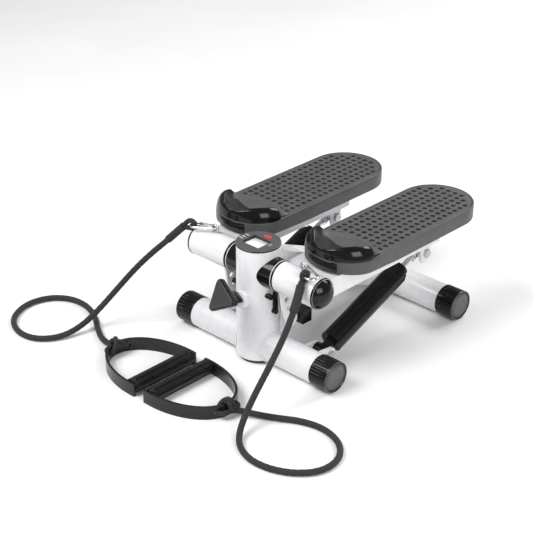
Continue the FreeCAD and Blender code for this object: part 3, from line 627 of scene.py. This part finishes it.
def make_knob():
    right = Vector((1, 0, 0))
    up = KNOB_AXIS.cross(right)
    rows, count = [], 96
    hub = softened([(12, 8.5), (12, 11), (18, 11.4), (21, 11.4), (21, 10.2), (23.5, 10.2), (23.5, 11.6),
                    (28, 12), (28, 10.8), (31, 10.8), (31, 12.2), (36, 12.6), (40, 12.8)], 0.8)
    corner_angles = np.arctan2(*triangle_loop(1, count).T[::-1])
    for distance, radius in hub:
        rows.append((distance,
                     np.array([[radius * math.cos(a), radius * math.sin(a)] for a in corner_angles])))
    for distance, scale in ((42, 0.7), (42.6, 0.86), (43.6, 0.95), (45, 0.99), (47.5, 1.0), (51.5, 0.99),
                            (53.4, 0.95), (54.6, 0.9), (55, 0.84), (54.7, 0.8), (54.6, 0.4), (54.6, 0.01)):
        rows.append((distance, triangle_loop(scale, count)))
    vertices = []
    for distance, loop in rows:
        for x, y in loop:
            vertices.append(KNOB_START + KNOB_AXIS * distance + right * float(x) + up * float(y))
    faces = grid_faces(len(rows), count)
    shades = [int(i // count >= len(rows) - 5) for i in range(len(faces))]
    knob = mm_object("triangle_knob", vertices, faces, [MATERIALS["black_gloss"], MATERIALS["knob_face"]],
                     shades)
    finish_piece(knob, "knob", ["adjust_knob"])
    collar = softened([(-4, 12), (-4, 13.6), (8, 13.6), (8, 11), (9.2, 11), (9.2, 6.2)], 1.2)
    boss = turned("knob_boss_collar", collar, KNOB_START, KNOB_AXIS, MATERIALS["white_paint"])
    finish_piece(boss, "root", ["knob_boss"])


# --- pedal ----------------------------------------------------------------------------------------
PEDAL_X, PEDAL_HALF, TOE_Y, HEEL_Y, TOE_DEPTH = 98, 62.5, 34, 381, 50
GRIP_Z = 198.1
HOOD_OUTER_POINTS = 15          # faces across the hood from its foot to just inside its crest
GRIP_START_Y = 108
DOT_PITCH = (13.6, 13.49)
FIRST_DOT_Y = 118.2
DOT_REACH = 53                 # of the dots from the centre of the heel's round end
# The skirt's lower edge, the same at the toe, where it starts to rise, and where the top edge's rounding
# starts.
SKIRT_Z, SKIRT_TOE_Z, SKIRT_BEND_Y, SKIRT_EDGE_Z = 173.6, 178.1, 150, 195.6


def toe_outline(share):
    """Point on the pedal's outline. share runs from 0 at the toe to 1 at the end of the hood."""
    side, share = math.copysign(1, share), abs(share)
    turn = min(share / 0.85, 1) * math.pi / 2
    y = TOE_Y + TOE_DEPTH - TOE_DEPTH * math.cos(turn)
    if share > 0.85:
        y += 2.5 * (share - 0.85) / 0.15
    return np.array([PEDAL_X + side * PEDAL_HALF * math.sin(turn), y])


# From the toe to the ear: share, distance from the pedal's centre line, Y and Z of the hood's crest,
# then the same three of the edge where its scooped inner side meets the tread.
HOOD = np.array([
    (0.00, 0.0, 37.5, 211.0, 0.0, 82.0, 198.1), (0.12, 10.0, 38.3, 212.5, 8.0, 82.5, 198.1),
    (0.25, 20.0, 42.5, 215.3, 16.0, 84.5, 198.2), (0.38, 28.0, 50.5, 218.0, 24.0, 87.3, 198.4),
    (0.50, 36.0, 58.5, 219.0, 32.0, 89.5, 199.0), (0.62, 43.0, 67.0, 219.0, 39.0, 91.3, 200.5),
    (0.74, 47.5, 76.0, 217.8, 44.5, 92.8, 203.0), (0.87, 50.0, 84.5, 215.8, 48.8, 93.2, 206.0),
    (1.00, 52.0, 90.5, 213.4, 51.0, 94.5, 209.0),
])


def hood_column(share):
    """Crest point and tread edge point of the hood at this share."""
    values = [np.interp(abs(share), HOOD[:, 0], HOOD[:, i]) for i in range(1, 7)]
    side = math.copysign(1, share)
    crest = np.array([PEDAL_X + side * values[0], values[1], values[2]])
    edge = np.array([PEDAL_X + side * values[3], values[4], values[5]])
    return crest, edge


def hood_profile(share, sink):
    """One section of the hood, from its foot on the skirt, over the crest and down to the tread."""
    crest, edge = hood_column(share)
    foot = np.array([*toe_outline(share), 193.6])
    crest[2] -= sink * (crest[2] - 198)
    edge[2] -= sink * (edge[2] - 198)
    points = [foot + (0, 0, -1.2), foot]
    for turn in np.radians(np.linspace(9, 90, 12)):
        across = 0.12 * (1 - math.cos(turn)) + 0.88 * (1 - math.cos(turn)) ** 0.9
        point = foot + (crest - foot) * across
        point[2] = foot[2] + (crest[2] - foot[2]) * math.sin(turn)
        points.append(point)
    for share_in in (0.03, 0.08, 0.16, 0.28, 0.42, 0.58, 0.76, 0.92, 1.0):
        point = crest + (edge - crest) * share_in
        point[2] = edge[2] + (crest[2] - edge[2]) * (1 - share_in) ** 1.7
        points.append(point)
    return points


def make_hood(side, way):
    shares = list(np.linspace(-1, 1, 121))
    sections = [(s, 0.0, 0.0) for s in shares]
    tails = [(0.25, 0.03), (0.6, 0.16), (0.85, 0.45), (1.0, 0.92)]
    sections = [(-1, 2.5 * t, k) for t, k in reversed(tails)] + sections + [(1, 2.5 * t, k) for t, k in tails]
    rows = []
    for share, back, sink in sections:
        rows.append([point + np.array([0, back, 0]) for point in hood_profile(share, sink)])
    hood = patch(side + "_toe_hood", rows, MATERIALS["black_gloss"])
    hood.data.materials.append(MATERIALS["hood_inside"])
    across = len(rows[0]) - 1
    shades = [int(i % across >= HOOD_OUTER_POINTS) for i in range(len(hood.data.polygons))]
    hood.data.polygons.foreach_set("material_index", shades)
    mirror_mesh(hood, way)
    finish_piece(hood, side + "_pedal", [side + "_toe_cup"])


def make_tread(side, way):
    """Smooth tongue between the hood and the dots, rising to the hood's two ears."""
    rows = []
    for share in np.linspace(-1, 1, 81):
        _, edge = hood_column(share)
        across = edge[0] - PEDAL_X
        end = np.array([PEDAL_X + across * 1.1, 121.5 - 10 * (across / 50) ** 2, GRIP_Z])
        column = []
        for along in np.linspace(0, 1, 14):
            point = edge + (end - edge) * along
            point[2] = GRIP_Z + 0.9 + (edge[2] - GRIP_Z - 0.9) * (1 - along) ** 1.6
            column.append(point)
        column += [end + (0, 0.5, 0.5), end + (0, 0.6, -0.6)]
        rows.append(column)
    flank = []
    for first, sign in ((rows[0], -1), (rows[-1], 1)):
        outer = [np.array([PEDAL_X + sign * 57.8, p[1], GRIP_Z]) for p in first]
        middle = [(p + q) / 2 + (0, 0, 0.15 * (p[2] - q[2])) for p, q in zip(first, outer)]
        flank.append((outer, middle))
    rows = [flank[0][0], flank[0][1]] + rows + [flank[1][1], flank[1][0]]
    tread = patch(side + "_tread_tongue", rows, MATERIALS["grip_rubber"])
    mirror_mesh(tread, way)
    finish_piece(tread, side + "_pedal")


def pedal_loop(inset, z, start_y=None, count=48):
    """Closed loop round the pedal at an inset from its outline; start_y cuts the toe off square."""
    half = PEDAL_HALF - inset
    heel_y = HEEL_Y - PEDAL_HALF
    points = [(half * math.cos(a), heel_y + half * math.sin(a)) for a in np.linspace(0, math.pi, count)]
    if start_y is None:
        deep = TOE_DEPTH - inset
        points += [(-half, y) for y in np.linspace(heel_y, TOE_Y + TOE_DEPTH, 14)[1:-1]]
        points += [(half * math.cos(a), TOE_Y + TOE_DEPTH + deep * math.sin(a))
                   for a in np.linspace(math.pi, 2 * math.pi, count)]
        points += [(half, y) for y in np.linspace(TOE_Y + TOE_DEPTH, heel_y, 14)[1:-1]]
    else:
        points += [(-half, start_y), (half, start_y)]
    return [(PEDAL_X + x, y, z) for x, y in points]


def dot_ring(x, y, size, z, count=12):
    """Rounded square ring of one recess in the tread."""
    ring = []
    for i in range(count):
        angle = 2 * math.pi * (i + 0.5) / count
        c, s = math.cos(angle), math.sin(angle)
        reach = size / (abs(c) ** 3 + abs(s) ** 3) ** (1 / 3)
        ring.append((x + reach * c, y + reach * s, z))
    return ring


def dot_places():
    places = []
    for row in range(20):
        for column in range(8):
            x = PEDAL_X + DOT_PITCH[0] * (column - 3.5)
            y = FIRST_DOT_Y + DOT_PITCH[1] * row
            beyond = y - (HEEL_Y - PEDAL_HALF)
            if beyond > 0 and math.hypot(x - PEDAL_X, beyond) > DOT_REACH:
                continue
            if y < HEEL_Y - 9:
                places.append((x, y))
    return places


def make_grip(side, way):
    rim = [pedal_loop(inset, z, GRIP_START_Y)
           for inset, z in ((3.5, 195.2), (3.6, 197.4), (4.0, 197.9), (4.6, GRIP_Z))]
    holes = [[dot_ring(x, y, size, z)
              for size, z in ((4.9, GRIP_Z), (4.4, GRIP_Z - 0.5), (4.1, GRIP_Z - 2.4))]
             for x, y in dot_places()]
    # The dots' deep walls and floors take the near-black as painted shade in the recesses.
    grip = plate_with_holes(side + "_tread_grip", rim, holes,
                            [MATERIALS["grip_rubber"], MATERIALS["recess_black_and_shade"]])
    mirror_mesh(grip, way)
    finish_piece(grip, side + "_pedal", [side + "_pedal_grip"])


def skirt_rise(y):
    """How far the skirt's lower edge has risen at this distance behind the column."""
    return (SKIRT_TOE_Z - SKIRT_Z) * max(0.0, SKIRT_BEND_Y - y) / (SKIRT_BEND_Y - TOE_Y)


def make_skirt(side, way):
    """Moulded skin round the tray's side, with a rounded top edge and a groove beside the tread."""
    steps = ((0.4, SKIRT_Z), (-0.1, SKIRT_Z + 0.6), (-0.2, 176), (-0.2, 183), (-0.2, SKIRT_EDGE_Z),
             (0.1, 196.9), (0.8, 197.8), (1.7, 198.1), (2.5, 197.9), (2.9, 197.2), (3.0, 195.1), (3.6, 195.1))
    rows = []
    for inset, z in steps:
        low = max(0.0, min(1.0, (SKIRT_EDGE_Z - z) / (SKIRT_EDGE_Z - SKIRT_Z)))
        rows.append([(x, y, z + low * skirt_rise(y)) for x, y, z in pedal_loop(inset, z)])
    skirt = patch(side + "_skirt_skin", rows, MATERIALS["pedal_plastic"], closed=True)
    mirror_mesh(skirt, way)
    finish_piece(skirt, side + "_pedal")
    make_front_panel(side, way)


def make_front_panel(side, way):
    """Black panel let into the front of the skirt, with a wider black strip round it as painted shade of the
    gap.
    """
    # The wider strip is painted shade: black laid on the skirt beside the panel where the gap's shade falls.
    for name, half, out, z0, z1, material in (("gap_shade", 0.27, 0.35, 178.3, 195.0, "black_gloss"),
                                              ("panel", 0.195, 0.9, 178.6, 194.6, "black_gloss")):
        rows = []
        for share in np.linspace(-half, half, 49):
            x, y = toe_outline(share)
            away = np.array([(x - PEDAL_X) / PEDAL_HALF ** 2, (y - TOE_Y - TOE_DEPTH) / TOE_DEPTH ** 2])
            away /= np.linalg.norm(away)
            edge = min(1.0, (half - abs(share)) / 0.025)
            reach = out * edge ** 0.5
            column = [(x, y, z0), (x + away[0] * reach, y + away[1] * reach, z0 + 0.5),
                      (x + away[0] * reach, y + away[1] * reach, z1 - 0.6), (x, y, z1)]
            rows.append(column)
        piece = patch(f"{side}_skirt_{name}", rows, MATERIALS[material])
        mirror_mesh(piece, way)
        finish_piece(piece, side + "_pedal")


def make_pedals():
    for side, way in SIDES:
        make_hood(side, way)
        make_tread(side, way)
        make_grip(side, way)
        make_skirt(side, way)


# --- handles --------------------------------------------------------------------------------------
HANDLE_Y = -159
HANDLE_BAR_X = {"left": -58, "right": -16}
HANDLE_WAY = {"left": -1, "right": 1}
HANDLE_REACH = 108             # from the grip bar to the band's apex


def ribbed(angle, distance):
    """Eight lengthwise ribs on a grip."""
    if not 1 < distance < 115:
        return 1
    groove = (0.5 - 0.5 * math.cos(8 * angle)) ** 6
    return 1 - 0.2 * groove


def make_handles():
    for side, _ in SIDES:
        start = (HANDLE_BAR_X[side], HANDLE_Y - 58, 12.5)
        profile = [(0, 6.2), (0, 11.4), (0.5, 12.2), (1.2, 12.5), (2.5, 12.5), (58, 12.5), (113.5, 12.5),
                   (114.8, 12.5), (115.5, 12.2), (116, 11.4), (116, 6.2)]
        grip = turned(side + "_ribbed_grip", profile, start, (0, 1, 0), MATERIALS["handle_black"], 128,
                      ribbed)
        finish_piece(grip, "root", [side + "_handle_grip"])
        for place, y in (("near", HANDLE_Y - 62.4), ("far", HANDLE_Y + 58.2)):
            hub = softened([(0, 0.1), (0, 12.6), (4.2, 12.6), (4.2, 0.1)], 1.2)
            plate = turned(f"{side}_grip_{place}_plate", hub, (HANDLE_BAR_X[side], y, 12.6), (0, 1, 0),
                           MATERIALS["black_gloss"], 64)
            finish_piece(plate, "root")


# --- ropes in place -----------------------------------------------------------------------------
ROPE_RADIUS = ROPE_DIAMETER / 2


LOOP_RADIUS = {"left": 4.1, "right": 3.3}   # of the end loops' rope, in millimetres
SLEEVE = {"left": (0.0, 42.0, 6.3), "right": (7.0, 50.0, 6.8)}   # start and end along the rope, and radius
# The wire each loop hangs from, the way it hangs, and the wire's own direction.
CLIP_WIRE = {"left": ((-138.2, -11.1, 188.8), (-0.924, -0.257, -0.28)),
             "right": ((113.4, -17.4, 192.6), (0.0, 0.0, -1.0))}
CLIP_ALONG = {"left": (-0.27, 0.963, 0.0), "right": (0.97, -0.26, 0.0)}


def cord_through(name, points, radius, relief=None):
    """Short run of rope through points in millimetres."""
    line = resampled(spline_points([tuple(c * MM for c in p) for p in points]), 0.7 * MM)
    return tube_along(name, line, radius * MM, 20, MATERIALS["rope_black"], relief or small_plait)


def small_plait(along, angles):
    return plait(along * 1.25, angles)


def whipping(along, angles):
    """Close turns of cord round the rope's spliced end."""
    return 1 + 0.035 * np.cos(along / (0.42 * MM)) + 0 * angles


def make_end_loop(side, line):
    """Loop that hangs in the carabiner, and the sleeve that closes it."""
    wire, down = (Vector(v) for v in CLIP_WIRE[side])
    along = Vector(CLIP_ALONG[side])
    down = (down - along * down.dot(along)).normalized()
    across = along.cross(down)
    half = 2.9 + LOOP_RADIUS[side]
    middle = wire + down * (half - LOOP_RADIUS[side] - 2.2)
    begin, end, radius = SLEEVE[side]
    neck = Vector(line[int(begin * MM / ROPE_STEP)]) / MM
    points = [neck + across * 1.5, middle + down * 6 + across * (half - 1.5)]
    for turn in np.radians(np.linspace(0, 180, 9)):
        points.append(middle + across * half * math.cos(turn) - down * half * math.sin(turn))
    points += [middle + down * 6 - across * (half - 1.5), neck - across * 1.5]
    loop = cord_through(side + "_rope_loop", points, LOOP_RADIUS[side])
    finish_piece(loop, side + "_pedal")
    part = line[int(begin * MM / ROPE_STEP):int(end * MM / ROPE_STEP)]
    sleeve = tube_along(side + "_rope_sleeve", part, radius * MM, 32, MATERIALS["rope_black"], whipping)
    finish_piece(sleeve, side + "_pedal")
    return loop, sleeve


def make_lashing(side):
    """Two turns of rope from the rope's end through the band's holes and over its edge."""
    tip = HANDLE_BAR_X[side] + HANDLE_WAY[side] * HANDLE_REACH
    pieces = []
    for i, sign in enumerate((-1, 1)):
        turns = ((6, 0, 11), (6.5, 7, 11), (5, 15, 11), (0, 19, 11), (-8, 19, 11), (-10, 12, 16),
                 (-8.5, 5, 24), (-2, 0, 28 - 5 * i), (5, -4, 25), (8, -3, 15), (7.5, 1, 9))
        points = [(tip + HANDLE_WAY[side] * x, HANDLE_Y + sign * y, z) for x, y, z in turns]
        piece = cord_through(f"{side}_lashing_{i}", points, 3.7)
        finish_piece(piece, "root")
        pieces.append(piece)
    return pieces


def make_ropes():
    for side, _ in SIDES:
        line = resampled(spline_points(ROPE_ROUTES[side]), ROPE_STEP)
        rope = tube_along(side + "_rope_braid", line, ROPE_RADIUS, 32, MATERIALS["rope_black"], plait)
        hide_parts(side + "_rope")
        ends = list(make_end_loop(side, line)) + make_lashing(side)
        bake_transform(rope)


def make_floor():
    bpy.ops.mesh.primitive_plane_add(size=30, location=(0, 0, 0))
    floor = bpy.context.object
    floor.name = "floor"
    material, tree, shader = new_material("floor")
    tone = ramp(tree, noise(tree, 3, 2), [(0.3, 0.86), (0.7, 0.9)])
    tree.links.new(tone, shader.inputs["Base Color"])
    shader.inputs["Roughness"].default_value = 0.7
    floor.data.materials.append(material)


def soften_cad_edges():
    """Narrow bevels on the exact nodes, so that their edges catch the light."""
    for name, thing in frame["nodes"].items():
        bevel = thing.modifiers.new("edges", "BEVEL")
        bevel.width = (0.8 if "band" in name else 0.5) * MM
        bevel.segments = 2
        bevel.limit_method = "ANGLE"
        bevel.angle_limit = math.radians(35)
        bevel.harden_normals = True


make_camera()
make_world()
make_floor()
make_light("key", (-0.9, -1.6, 2.4), (0, 0, 0.1), (1.6, 1.6), 75)
make_light("fill", (2.0, -0.6, 1.2), (0, 0, 0.1), (1.4, 1.0), 26)
make_light("back", (0.2, 2.2, 1.8), (0, 0, 0.1), (1.8, 1.0), 40)
paint_cad_nodes()
soften_cad_edges()
make_base_caps()
make_pivot_trim()
make_column_weld()
make_display()
make_knob()
make_pedals()
make_handles()
make_ropes()
